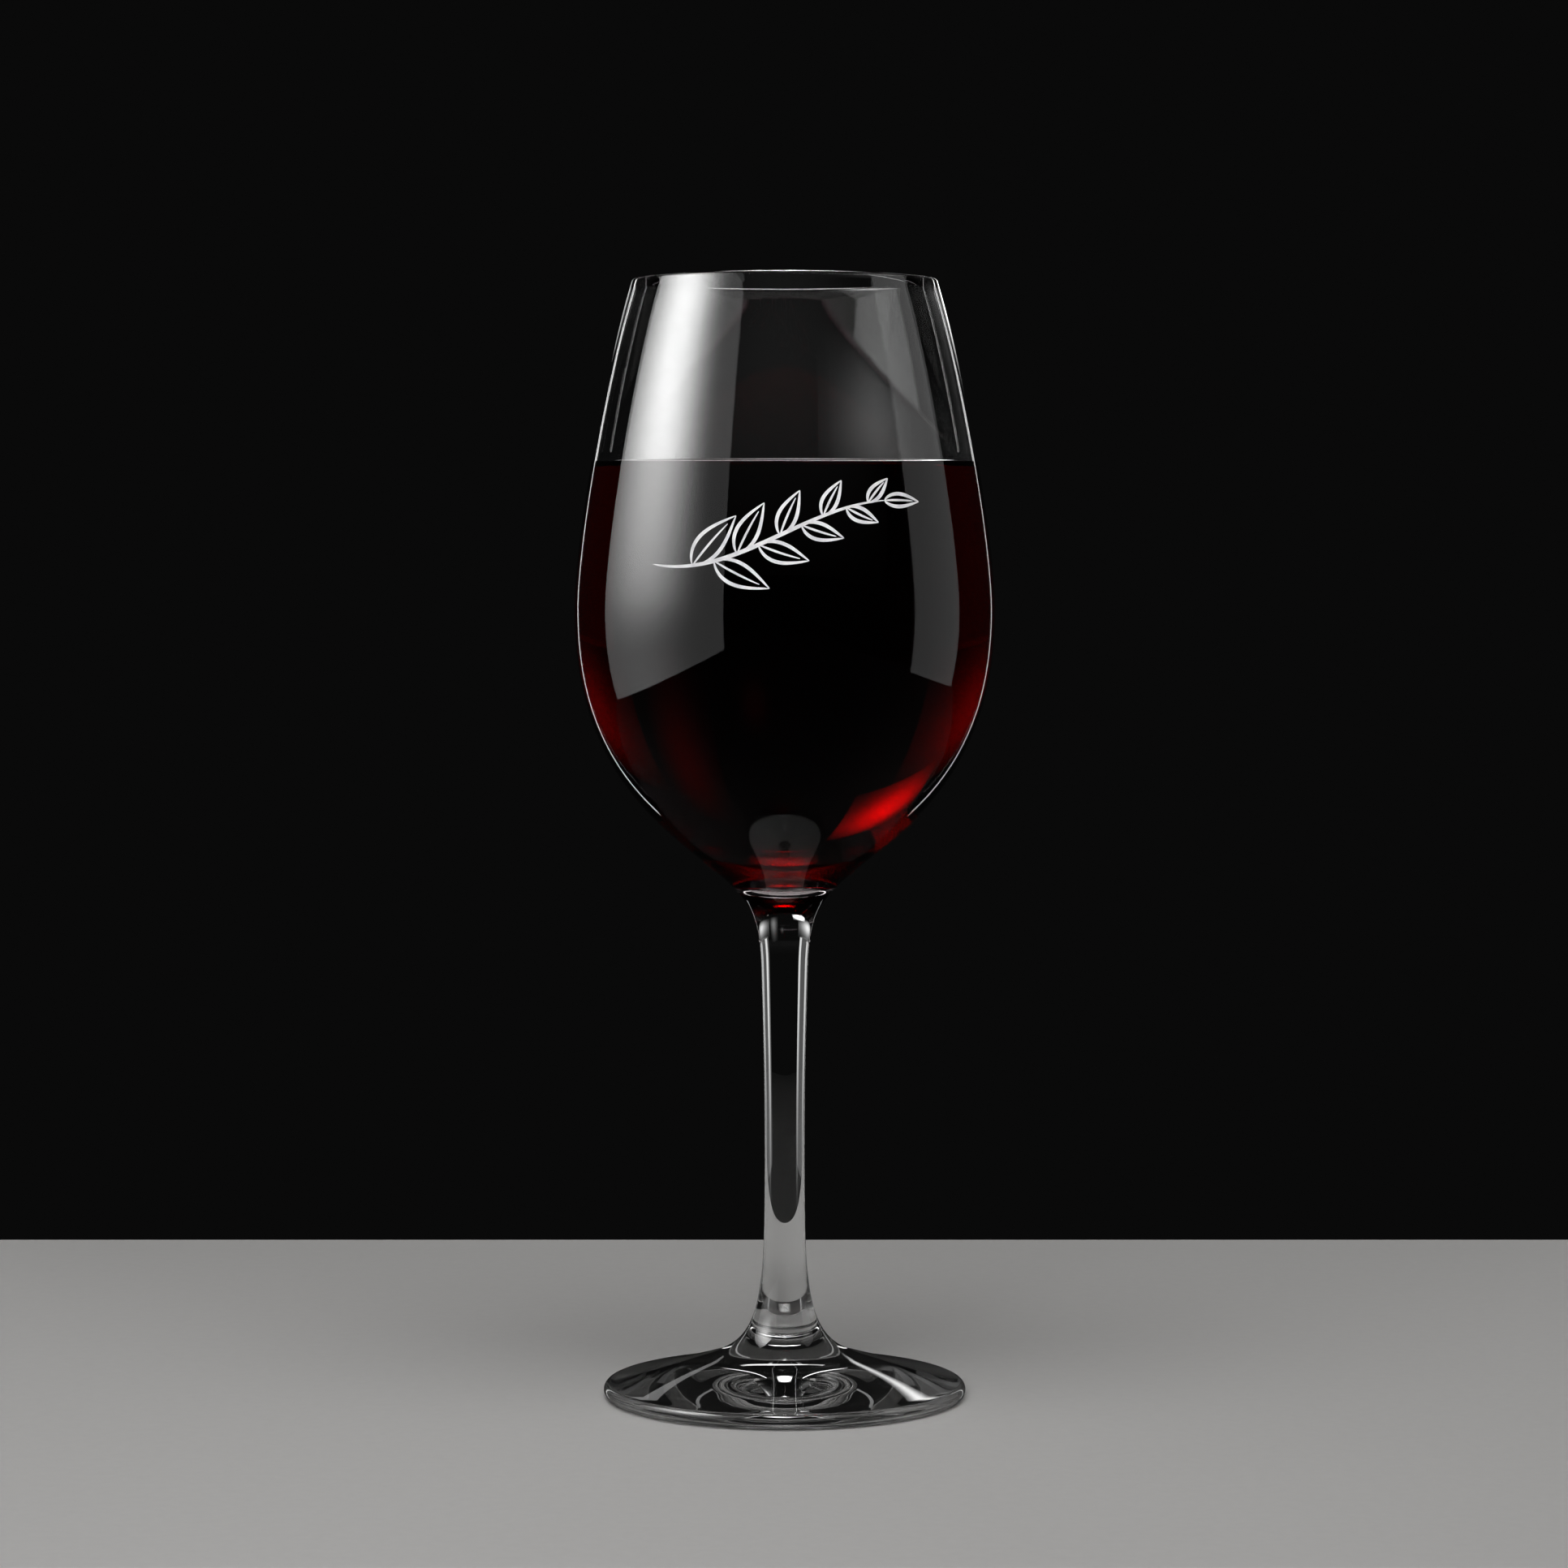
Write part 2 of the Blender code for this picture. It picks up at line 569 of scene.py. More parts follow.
def turned(outline: np.ndarray) -> Surface:
    """A surface of revolution about Z from an outline that starts and ends on the axis.

    Every point between the two ends becomes a ring: (r cos a, r sin a, z) for an even sweep of a.
    Quads join each ring to the next, and a fan of triangles closes each pole.

    Args:
        outline: Rows of radius and height. It keeps the solid on its left, seen with +Z up and +X right.

    Returns:
        The closed surface.
    """
    rings = outline[1:-1]
    angles = np.linspace(0.0, math.tau, STEPS_ROUND, endpoint=False)
    radius, height = rings[:, :1], rings[:, 1:]
    around = np.stack((radius * np.cos(angles), radius * np.sin(angles), height + 0 * angles), axis=-1)
    first_pole = (0.0, 0.0, outline[0, 1])
    last_pole = (0.0, 0.0, outline[-1, 1])
    points = np.vstack((around.reshape(-1, 3), first_pole, last_pole))
    number = np.arange(len(rings) * STEPS_ROUND).reshape(len(rings), STEPS_ROUND)
    beside = np.roll(number, -1, axis=1)
    quads = np.stack((number[:-1], number[1:], beside[1:], beside[:-1]), axis=-1).reshape(-1, 4)
    first = np.full(STEPS_ROUND, len(points) - 2)
    last = np.full(STEPS_ROUND, len(points) - 1)
    fans = np.vstack((
        np.column_stack((first, number[0], beside[0])),
        np.column_stack((last, beside[-1], number[-1])),
    ))
    return Surface(points, quads, fans)


def near_first_pole(surface: Surface, rows: int) -> np.ndarray:
    """Which faces of a turned surface lie at its first pole and in the first rows of quads after it.

    Args:
        surface: The turned surface.
        rows: The number of rows of quads.

    Returns:
        Whether each face does, in the mesh's order: quads, then triangles.
    """
    quads = len(surface.quads)
    chosen = np.zeros(quads + len(surface.triangles), dtype=bool)
    chosen[:rows * STEPS_ROUND] = True
    chosen[quads:quads + STEPS_ROUND] = True
    return chosen


def make_piece(name: str, surface: Surface, materials: list[bpy.types.Material],
               slots: np.ndarray | None = None) -> bpy.types.Object:
    """Put a surface into a mesh object at the origin.

    Args:
        name: The piece's name.
        surface: Its points and faces.
        materials: Its materials, in the order of its slots.
        slots: The slot of each face, quads before triangles, where not all take the first.

    Returns:
        The object, smooth shaded and linked to the scene.
    """
    mesh = bpy.data.meshes.new(name)
    quads, triangles = surface.quads, surface.triangles
    corners = np.concatenate((quads.ravel(), triangles.ravel()))
    sides = np.concatenate((np.full(len(quads), 4), np.full(len(triangles), 3)))
    starts = np.concatenate(((0,), np.cumsum(sides)[:-1]))
    mesh.vertices.add(len(surface.points))
    mesh.vertices.foreach_set("co", surface.points.astype(np.float32).ravel())
    mesh.loops.add(len(corners))
    mesh.loops.foreach_set("vertex_index", corners.astype(np.int32))
    mesh.polygons.add(len(sides))
    mesh.polygons.foreach_set("loop_start", starts.astype(np.int32))
    if slots is not None:
        mesh.polygons.foreach_set("material_index", slots.astype(np.int32))
    mesh.update(calc_edges=True)
    mesh.validate()
    mesh.shade_smooth()
    for material in materials:
        mesh.materials.append(material)
    piece = bpy.data.objects.new(name, mesh)
    bpy.context.scene.collection.objects.link(piece)
    return piece


@dataclass(frozen=True)
class Crystal:
    """The stemmed glass: a thin bowl that narrows to its rim, a drawn stem and a low foot."""

    name: str = "crystal_glass"
    total_height: float = 0.2200
    foot_radius: float = 0.0358
    rim_radius: float = 0.0299
    rim_flare: float = 17.0
    widest: Station = Station(0.0413, 0.1553, 0.0)
    knee: Station = Station(0.0210, 0.1101, -49.8)
    neck: Station = Station(0.00465, 0.0854, -1.7)
    waist: Station = Station(0.00394, 0.0480, 0.0)
    ankle: Station = Station(0.00448, 0.0251, 5.7)
    toe: Station = Station(0.0154, 0.0079, 73.0)
    upper_bowl_pull: Pair = (0.0195, 0.0132)
    lower_bowl_pull: Pair = (0.0231, 0.0145)
    neck_pull: Pair = (0.0152, 0.0138)
    upper_stem_pull: Pair = (0.0151, 0.0120)
    lower_stem_pull: Pair = (0.0098, 0.0042)
    flare_pull: Pair = (0.0105, 0.0080)
    foot_pull: Pair = (0.0070, 0.0080)
    wall_at_rim: float = 0.0011
    wall_at_widest: float = 0.0012
    wall_at_knee: float = 0.0018
    bowl_floor: float = 0.1016
    bowl_floor_pull: Pair = (0.0105, 0.0060)
    edge_round: float = 0.0015
    edge_slope: float = 79.0
    rest_inner_radius: float = 0.0290
    hollow_depth: float = 0.0009
    fineness: int = 36  # stretches to a long curve
    crest_steps: int = 9
    front_steps: int = 288  # stretches to the curve that the front's points are read from
    wet_mirror: float = 0.012  # how much of its mirroring the glass keeps where it is wet

    def rim_centre(self) -> np.ndarray:
        """Where the rim's half-round crest has its centre.

        Returns:
            Radius and height.
        """
        half = self.wall_at_rim / 2
        lean = math.cos(math.radians(self.rim_flare))
        return np.array((self.rim_radius - half * lean, self.total_height - half))

    def rim_station(self, side: int) -> Station:
        """Where the crest meets the outside (side +1) or the inside (side -1) of the bowl."""
        return Station(*self.rim_centre(), self.rim_flare).moved(side * self.wall_at_rim / 2)

    def inside(self, steps: int) -> np.ndarray:
        """The inner wall from the rim down to the lowest point: three Beziers that follow the outside.

        Args:
            steps: Stretches to each curve.

        Returns:
            Rows of radius and height.
        """
        widest = self.widest.moved(-self.wall_at_widest)
        knee = self.knee.moved(-self.wall_at_knee)
        floor = Station(0.0, self.bowl_floor, -90.0)
        return joined(
            curve(self.rim_station(-1), widest, self.upper_bowl_pull, steps),
            curve(widest, knee, self.lower_bowl_pull, steps),
            curve(knee, floor, self.bowl_floor_pull, steps),
        )

    def outside(self, steps: int) -> np.ndarray:
        """The outer wall from the rim down the bowl, the stem and the top of the foot.

        Args:
            steps: Stretches to each long curve. The slim stem takes half as many.

        Returns:
            Rows of radius and height.
        """
        edge_centre = Station(self.foot_radius - self.edge_round, self.edge_round, self.edge_slope)
        return joined(
            curve(self.rim_station(1), self.widest, self.upper_bowl_pull, steps),
            curve(self.widest, self.knee, self.lower_bowl_pull, steps),
            curve(self.knee, self.neck, self.neck_pull, steps),
            curve(self.neck, self.waist, self.upper_stem_pull, steps // 2),
            curve(self.waist, self.ankle, self.lower_stem_pull, steps // 2),
            curve(self.ankle, self.toe, self.flare_pull, steps),
            curve(self.toe, edge_centre.moved(self.edge_round), self.foot_pull, steps // 2),
        )

    def underside(self, steps: int) -> np.ndarray:
        """The foot's rounded edge, its flat resting ring and the shallow hollow inside it.

        Args:
            steps: Twice the stretches to the edge and to the hollow.

        Returns:
            Rows of radius and height, inwards to the axis.
        """
        ring = self.foot_radius - self.edge_round
        pull = self.rest_inner_radius / 3
        inner = Station(self.rest_inner_radius, 0.0, -90.0)
        return joined(
            arc(np.array((ring, self.edge_round)), self.edge_round, self.edge_slope, -90.0, steps // 2),
            np.array(((ring, 0.0), (self.rest_inner_radius, 0.0))),
            curve(inner, Station(0.0, self.hollow_depth, -90.0), (pull, pull), steps // 2),
        )

    def crest(self, steps: int) -> np.ndarray:
        """The half-round top of the rim.

        Args:
            steps: Stretches to each of its two quarters.

        Returns:
            Rows of radius and height from the inside over the highest point to the outside.
        """
        half = self.wall_at_rim / 2
        return joined(
            arc(self.rim_centre(), half, 180.0 + self.rim_flare, 90.0, steps),
            arc(self.rim_centre(), half, 90.0, self.rim_flare, steps),
        )

    def outline(self, contact: float) -> np.ndarray:
        """The closed section, with one point on the inner wall at the wine's contact line.

        Args:
            contact: The height of the contact line.

        Returns:
            Rows of radius and height from the bowl's floor over the rim to the middle of the underside.
        """
        inner = self.inside(self.fineness)[::-1]
        radius = np.interp(contact, inner[:, 1], inner[:, 0])
        inner = np.insert(inner, self.points_below(contact), (radius, contact), axis=0)
        crest = self.crest(self.crest_steps)
        return joined(inner, crest, self.outside(self.fineness), self.underside(self.fineness))

    def points_below(self, contact: float) -> int:
        """How many points of the inner wall's outline lie below the contact line."""
        return int(np.count_nonzero(self.inside(self.fineness)[:, 1] < contact))

    def on_front(self, across: np.ndarray, height: np.ndarray, proud: float) -> np.ndarray:
        """Points on the front of the bowl, above its widest place.

        The radius is the outer wall's at that height plus the stand-off r, and the depth is minus
        the root of r squared less the distance across squared.

        Args:
            across: Distances to the right of the axis.
            height: Heights.
            proud: How far the points stand off the outer wall.

        Returns:
            The points, with x, y and z along a new last axis.
        """
        wall = curve(self.rim_station(1), self.widest, self.upper_bowl_pull, self.front_steps)[::-1]
        radius = np.interp(height, wall[:, 1], wall[:, 0]) + proud
        return np.stack((across, -np.sqrt(radius**2 - across**2), height), axis=-1)

    def build(self, contact: float) -> bpy.types.Object:
        """Turn the glass and dress it.

        Args:
            contact: The height of the wine's contact line, below which the inner wall is wet.

        Returns:
            The piece.
        """
        surface = turned(self.outline(contact))
        wet = near_first_pole(surface, self.points_below(contact) - 1)
        wetted = ClearGlass(name="wetted crystal", mirror_tint=self.wet_mirror)
        return make_piece(self.name, surface, [ClearGlass().material(), wetted.material()], wet)


@dataclass(frozen=True)
class Wine:
    """The wine: it reaches just into the wall of the bowl and creeps up where it meets the glass."""

    glass: Crystal
    name: str = "wine_body"
    level: float = 0.1829
    capillary: float = 0.0011
    steepest: float = 80.0  # degrees from level, where the surface meets the wall
    sweep_end: float = 0.05  # where the climb is taken to start, as a share of the sweep
    reach: float = 0.00006
    flat_steps: int = 12
    climb_steps: int = 48
    side_steps: int = 110
    wall_steps: int = 400  # stretches to each curve of the wall that the side follows
    crease: float = 60.0  # degrees, less than the edge turns at the contact line

    def contact(self) -> float:
        """The height at which the surface meets the wall."""
        return self.level + float(self.climb()[0, 1])

    def climb(self) -> np.ndarray:
        """The curve by which a liquid climbs a wall.

        With p the slope and a the capillary length, the height above the level is 2 a sin(p/2), and
        the distance from the wall is a (-ln tan(p/4) - 2 cos(p/2)) less its value at the wall. The
        slope falls from the steepest one with the square of an even sweep.

        Returns:
            Rows of distance from the wall and height above the level, from the wall inwards.
        """
        slope = math.radians(self.steepest) * np.linspace(1.0, self.sweep_end, self.climb_steps + 1) ** 2
        away = -self.capillary * (np.log(np.tan(slope / 4)) + 2.0 * np.cos(slope / 2))
        return np.column_stack((away - away[0], 2.0 * self.capillary * np.sin(slope / 2)))

    def outline(self) -> np.ndarray:
        """The closed section of the wine.

        The surface is level in the middle and climbs where it nears the wall. The side is the
        inner wall moved out along its normal by the reach.

        Returns:
            Rows of radius and height from the middle of the surface, down the side, to the bottom.
        """
        wall = self.glass.inside(self.wall_steps)
        side = wall + self.reach * left_of(wall)
        side[-1] = (0.0, wall[-1, 1] - self.reach)
        edge = float(np.interp(-self.contact(), -side[:, 1], side[:, 0]))
        below = side[side[:, 1] < self.contact()]
        wet = divided(np.vstack(((edge, self.contact()), below)), self.side_steps)
        climb = self.climb()[::-1]
        rising = np.column_stack((edge - climb[:, 0], self.level + climb[:, 1]))
        flat = np.column_stack((
            np.linspace(0.0, rising[0, 0], self.flat_steps + 1),
            np.full(self.flat_steps + 1, rising[0, 1]),
        ))
        return joined(flat, rising, wet)

    def build(self) -> bpy.types.Object:
        """Turn the wine, dress it and mark the faces that meet air.

        Returns:
            The piece.
        """
        surface = turned(self.outline())
        finish = RedWine()
        piece = make_piece(self.name, surface, [finish.material()])
        marks = near_first_pole(surface, self.flat_steps + self.climb_steps - 1).astype(np.float32)
        piece.data.attributes.new(finish.open_faces, "FLOAT", "FACE").data.foreach_set("value", marks)
        piece.data.set_sharp_from_angle(angle=math.radians(self.crease))
        return piece


class Stroke(NamedTuple):
    """A line of changing width: rows of distance across and height, and half its width at each row."""

    path: np.ndarray
    half_width: np.ndarray


@dataclass(frozen=True)
class Sprig:
    """A leaf sprig etched into the front of the bowl.

    A twig runs up from the lower left. Leaves stand on it by turns above and below, each drawn by
    its two sides and a midrib, and they grow smaller towards the leaf at the twig's tip.
    """

    glass: Crystal
    name: str = "etched_sprig"
    start: Pair = (-0.0248, 0.1645)
    start_pull: Pair = (0.0150, -0.0030)
    end_pull: Pair = (-0.0150, -0.0010)
    end: Pair = (0.0188, 0.1765)
    leaves: int = 9
    first_leaf: float = 0.17
    last_leaf: float = 0.93
    longest: float = 0.0138
    shortest: float = 0.0052
    tip_leaf: float = 0.0065
    slimness: float = 0.186  # how far each side stands off, as a share of the length
    belly: float = 0.75  # the lower, the nearer the twig a leaf is broadest
    droop: float = 0.10  # how far the tip hangs, as a share of the length
    lean: float = 47.0  # degrees between a leaf and the twig
    rib_reach: float = 0.82  # how much of the length the midrib takes
    twig_line: float = 0.000391  # half the width of the twig where it is widest
    line: float = 0.00034  # and of a leaf's side
    rib: float = 0.00021  # and of its midrib
    tip: float = 0.00006  # and of every line at its ends
    lead: float = 0.8  # the lower, the nearer its start a line is widest
    fullness: float = 0.6  # the lower, the longer a line stays wide
    proud: float = 0.000015
    sunk: float = 0.00004
    twig_steps: int = 160
    leaf_steps: int = 40

    def twig(self) -> np.ndarray:
        """The twig's line: a cubic Bezier in the plane of distance across and height."""
        start, end = np.array(self.start), np.array(self.end)
        return bezier(start, start + self.start_pull, end + self.end_pull, end, self.twig_steps)

    def drawn(self, path: np.ndarray, widest: float) -> Stroke:
        """A stroke that swells from a fine tip and thins out again.

        With t from 0 to 1 along it, its half width grows by sin(pi t^lead)^fullness.

        Args:
            path: Rows of distance across and height.
            widest: Half its width where it is widest.

        Returns:
            The stroke.
        """
        t = np.linspace(0.0, 1.0, len(path))
        swell = np.sin(math.pi * t**self.lead) ** self.fullness
        return Stroke(path, self.tip + (widest - self.tip) * swell)

    def leaf(self, base: np.ndarray, angle: float, length: float) -> list[Stroke]:
        """One leaf.

        Along the leaf, s runs from 0 to 1, and each side stands off its middle by the slimness
        times the length times sin(pi s^belly), and the whole leaf droops with the square of s.

        Args:
            base: Where it stands on the twig.
            angle: Its direction in radians from level.
            length: Its length.

        Returns:
            Its two sides and its midrib.
        """
        s = np.linspace(0.0, 1.0, self.leaf_steps + 1)
        along = np.array((math.cos(angle), math.sin(angle)))
        beside = np.array((-math.sin(angle), math.cos(angle)))
        droop = self.droop * length * s**2 * math.copysign(1.0, math.cos(angle) * math.sin(angle))
        breadth = self.slimness * length * np.sin(math.pi * s**self.belly)

        def line(side: float, reach: float) -> np.ndarray:
            """The line on one side, up to a share of the length."""
            off = side * breadth - droop
            whole = base + length * s[:, None] * along + off[:, None] * beside
            return whole[:max(2, round(reach * len(s)))]

        return [
            self.drawn(line(1.0, 1.0), self.line),
            self.drawn(line(-1.0, 1.0), self.line),
            self.drawn(line(0.0, self.rib_reach), self.rib),
        ]

    def strokes(self) -> list[Stroke]:
        """Draw the twig, its leaves by turns above and below, and the leaf at its tip.

        Returns:
            Every stroke of the sprig.
        """
        twig = self.twig()
        strokes = [self.drawn(twig, self.twig_line)]
        heading = np.gradient(twig, axis=0)
        for number, share in enumerate(np.linspace(self.first_leaf, self.last_leaf, self.leaves)):
            place = round(share * (len(twig) - 1))
            turn = math.atan2(heading[place, 1], heading[place, 0])
            side = 1.0 if number % 2 == 0 else -1.0
            length = self.longest + (self.shortest - self.longest) * share
            strokes += self.leaf(twig[place], turn + side * math.radians(self.lean), length)
        turn = math.atan2(heading[-1, 1], heading[-1, 0])
        return strokes + self.leaf(twig[-1], turn, self.tip_leaf)

    def ribbon(self, stroke: Stroke) -> Surface:
        """A stroke as a thin closed strip on the wall.

        Its section is a rectangle: the two edges of the line, each at a small stand-off and sunk
        into the wall. Quads join each section to the next, and one quad closes each end.

        Args:
            stroke: The line and its width.

        Returns:
            The closed strip.
        """
        reach = left_of(stroke.path) * stroke.half_width[:, None]
        left, right = stroke.path + reach, stroke.path - reach
        corners = ((right, self.proud), (left, self.proud), (left, -self.sunk), (right, -self.sunk))
        points = np.stack([self.glass.on_front(*edge.T, off) for edge, off in corners], axis=1)
        number = np.arange(points.shape[0] * 4).reshape(-1, 4)
        beside = np.roll(number, -1, axis=1)
        sides = np.stack((number[:-1], number[1:], beside[1:], beside[:-1]), axis=-1)
        quads = np.vstack((sides.reshape(-1, 4), number[:1], number[-1:, ::-1]))
        return Surface(points.reshape(-1, 3), quads)

    def build(self) -> bpy.types.Object:
        """Lay every stroke on the wall.

        Returns:
            All of them as one piece.
        """
        ribbons = [self.ribbon(stroke) for stroke in self.strokes()]
        shifts = np.cumsum([0] + [len(ribbon.points) for ribbon in ribbons[:-1]])
        points = np.vstack([ribbon.points for ribbon in ribbons])
        quads = np.vstack([ribbon.quads + shift for ribbon, shift in zip(ribbons, shifts)])
        piece = make_piece(self.name, Surface(points, quads), [FrostedEtch().material()])
        piece.data.set_sharp_from_angle(angle=CREASE)
        return piece


@dataclass(frozen=True)
class SoftBox:
    """A flat panel of light, described by its centre and the point that it faces.

    Its radiance is what a mirror would show at its brightest place. Its feather tells how it fades
    over its face, and its sight which rays meet it.
    """

    name: str
    centre: Triple
    aim: Triple
    width: float
    height: float
    radiance: float
    feather: Feather = Feather.EVEN
    sight: Sight = Sight.GLASS
    beam: float = 180.0  # degrees across the cone of light that leaves it
    flagged: float = 0.0  # beyond this distance its light is flagged off; 0 leaves it open

    def build(self) -> None:
        """Hang the panel and link it to the scene."""
        centre = Vector(self.centre)
        back = (centre - Vector(self.aim)).normalized()
        right = Vector(UPWARDS).cross(back).normalized()
        up = back.cross(right)
        lamp = bpy.data.lights.new(self.name, "AREA")
        lamp.shape = "RECTANGLE"
        lamp.size = self.width
        lamp.size_y = self.height
        lamp.spread = math.radians(self.beam)
        lamp.energy = self._watts()
        panel = bpy.data.objects.new(self.name, lamp)
        panel.matrix_world = Matrix.Translation(centre) @ Matrix((right, up, back)).transposed().to_4x4()
        bpy.context.scene.collection.objects.link(panel)
        panel.visible_camera = False
        panel.visible_diffuse = self.sight is Sight.MATT
        panel.visible_glossy = self.sight is not Sight.MATT
        panel.visible_transmission = self.sight is not Sight.MATT
        lamp.use_nodes = True
        recipe = Recipe(lamp.node_tree)
        strength = self._kept(recipe, self._feathered(recipe, right, up))
        glow = recipe.add("ShaderNodeEmission", inputs={"Strength": strength})
        recipe.add("ShaderNodeOutputLight", inputs={"Surface": glow})

    def _watts(self) -> float:
        """The power that gives the panel its radiance.

        Returns:
            Watts, in proportion to the area. With h half the angle of its beam, a narrow beam takes
            1 - h / tan h of what a full one takes.
        """
        half = math.radians(self.beam) / 2
        return LAMP_POWER * self.width * self.height * self.radiance * (1.0 - half / math.tan(half))

    def _feathered(self, recipe: Recipe, right: Vector, up: Vector) -> Shade | float:
        """How bright each place on the panel is.

        Args:
            recipe: The lamp's recipe.
            right: The direction of the panel's width.
            up: The direction of its height.

        Returns:
            The brightness as a share of the brightest.
        """
        if self.feather is Feather.EVEN:
            return 1.0
        place = recipe.add("ShaderNodeNewGeometry", output="Position")
        height = recipe.along(place, UPWARDS)
        if self.feather is Feather.FALLING:
            return recipe.ramp(height, FALL_LOW, FALL_HIGH)
        if self.feather is Feather.GLOWING:
            bell = recipe.bell((recipe.along(place, AWAY) - GLOW_MIDDLE) / GLOW_WIDTH)
            rise = recipe.ramp(height, GLOW_LOW, GLOW_HIGH)
            return bell * (rise * (1.0 - GLOW_FOOT) + GLOW_FOOT) + GLOW_SHARE
        off = recipe.add("ShaderNodeVectorMath", {"operation": "SUBTRACT"}, {0: place, 1: self.centre})
        across = recipe.along(off, right) / (ROUND_SPREAD * self.width)
        upwards = recipe.along(off, up) / (ROUND_SPREAD * self.height)
        return recipe.bell(across) * recipe.bell(upwards)

    def _kept(self, recipe: Recipe, strength: Shade | float) -> Shade | float:
        """Keep the light to the rays that may meet it, by their mirrors and by their length.

        Args:
            recipe: The lamp's recipe.
            strength: Its brightness so far.

        Returns:
            The brightness that each ray meets.
        """
        mirrors = recipe.add("ShaderNodeLightPath", output="Glossy Depth")
        mirrored = mirrors > MIRRORED_ONCE
        if self.sight is Sight.MIRRORED:
            strength = strength * (mirrored - (mirrors > MIRRORED_TWICE) * (1.0 - SECOND_MIRROR))
        elif self.sight is Sight.THROUGH:
            strength = strength * (1.0 - mirrored)
        if self.flagged > 0.0:
            carried = recipe.add("ShaderNodeLightPath", output="Ray Length")
            strength = strength * (1.0 - recipe.ramp(carried, self.flagged, self.flagged + FLAG_EDGE))
        return strength


def around(bearing: float, lift: float, distance: float, height: float = BOWL_MIDDLE[2]) -> Triple:
    """A place on a sphere round a point of the glass's axis.

    Args:
        bearing: Degrees from the camera's side, towards the left.
        lift: Degrees above level.
        distance: Metres from the point.
        height: The height of the point, the bowl's middle as a rule.

    Returns:
        The place.
    """
    turn, rise = math.radians(bearing), math.radians(lift)
    level = distance * math.cos(rise)
    return (-level * math.sin(turn), -level * math.cos(turn), height + distance * math.sin(rise))


def mirrored_boxes() -> list[SoftBox]:
    """The lights that are mirrored: the broad boxes, the rim's lines and the wine's level line.

    Returns:
        The boxes.
    """
    even = (Feather.EVEN, Sight.MIRRORED)
    soft = (Feather.ROUND, Sight.MIRRORED)
    return [
        SoftBox("left box", (-0.30, -0.19, 0.31), (0.0, -0.19, 0.31), 0.58, 0.52, 7.0,
                Feather.GLOWING, Sight.MIRRORED),
        SoftBox("right strip", (0.30, -0.017, 0.31), (0.0, -0.017, 0.31), 0.18, 0.486, 0.38, *even),
        SoftBox("left rim light", around(151.0, 8.0, 0.5), BOWL_MIDDLE, 0.018, 0.70, 1.5, *even),
        SoftBox("right rim light", around(-151.0, 8.0, 0.5), BOWL_MIDDLE, 0.018, 0.70, 1.2, *even),
        SoftBox("level light", around(-175.0, 0.0, 0.6, 0.275), BOWL_MIDDLE, 0.30, 0.052, 5.0, *soft),
        SoftBox("rim panel", (0.003, 0.081, 0.403), (0.0, 0.0, 0.22), 0.13, 0.14, 34.0, *soft,
                flagged=0.222),
        SoftBox("front veil", around(0.0, 32.0, 0.8), BOWL_MIDDLE, 2.40, 0.60, 0.060, *soft),
        SoftBox("level fill", around(171.0, 0.0, 0.6, 0.273), BOWL_MIDDLE, 0.16, 0.032, 0.5, *even),
    ]


def boxes_behind() -> list[SoftBox]:
    """The lights that show through the glass: its hair lines, the wine's red edges and its glow.

    Returns:
        The boxes.
    """
    even = (Feather.EVEN, Sight.THROUGH)
    soft = (Feather.ROUND, Sight.THROUGH)
    return [
        SoftBox("hair light", around(157.0, 29.0, 0.6), BOWL_MIDDLE, 0.22, 0.16, 7.5, *soft),
        SoftBox("back left panel", around(132.0, 16.0, 0.6), BOWL_MIDDLE, 0.60, 0.24, 0.9, *soft),
        SoftBox("back right panel", around(-130.0, 16.0, 0.6), BOWL_MIDDLE, 0.56, 0.24, 0.75, *soft),
        SoftBox("back right haze", around(-164.0, 16.0, 1.2), BOWL_MIDDLE, 0.26, 0.56, 0.15, *soft),
        SoftBox("back right glow", (0.036, 0.60, 0.211), (0.0, 0.0, 0.2), 0.045, 0.062, 0.045, *soft),
        SoftBox("low left panel", around(126.0, 0.0, 0.6, 0.070), STEM_MIDDLE, 0.56, 0.235, 0.070, *even),
        SoftBox("low right panel", around(-126.0, 0.0, 0.6, 0.070), STEM_MIDDLE, 0.56, 0.235, 0.070, *even),
    ]


def stem_strips() -> list[SoftBox]:
    """The upright strips that draw the stem's pale lines and fade towards the foot.

    Returns:
        The boxes.
    """
    strips = (
        ("left stem strip", 152.0, 0.017, 0.55),
        ("left edge strip", 125.0, 0.045, 0.55),
        ("right stem strip", -145.0, 0.022, 0.55),
        ("right edge strip", -119.0, 0.060, 0.45),
    )
    return [
        SoftBox(name, around(bearing, 0.0, 0.198, STEM_MIDDLE[2]), STEM_MIDDLE, width, 0.116, radiance,
                Feather.FALLING, Sight.THROUGH)
        for name, bearing, width, radiance in strips
    ]


def high_panels() -> list[SoftBox]:
    """The two small panels overhead that put sparks into the foot."""
    return [
        SoftBox("high panel", around(180.0, 50.0, 0.6), BOWL_MIDDLE, 0.16, 0.10, 14.0, Feather.ROUND),
        SoftBox("front high panel", around(0.0, 52.0, 0.6), BOWL_MIDDLE, 0.12, 0.10, 6.0, Feather.ROUND),
    ]


def matt_lights() -> list[SoftBox]:
    """The lights for the board and for the frosted sprig, which nothing mirrors."""
    return [
        SoftBox("board light", (0.0, -0.5, 1.2), (0.0, 0.0, 0.0), 1.2, 0.8, 2.2, sight=Sight.MATT),
        SoftBox("front light", (-0.15, -0.90, 0.42), (0.0, 0.0, 0.16), 0.50, 0.40, 10.0, sight=Sight.MATT,
                beam=50.0),
    ]


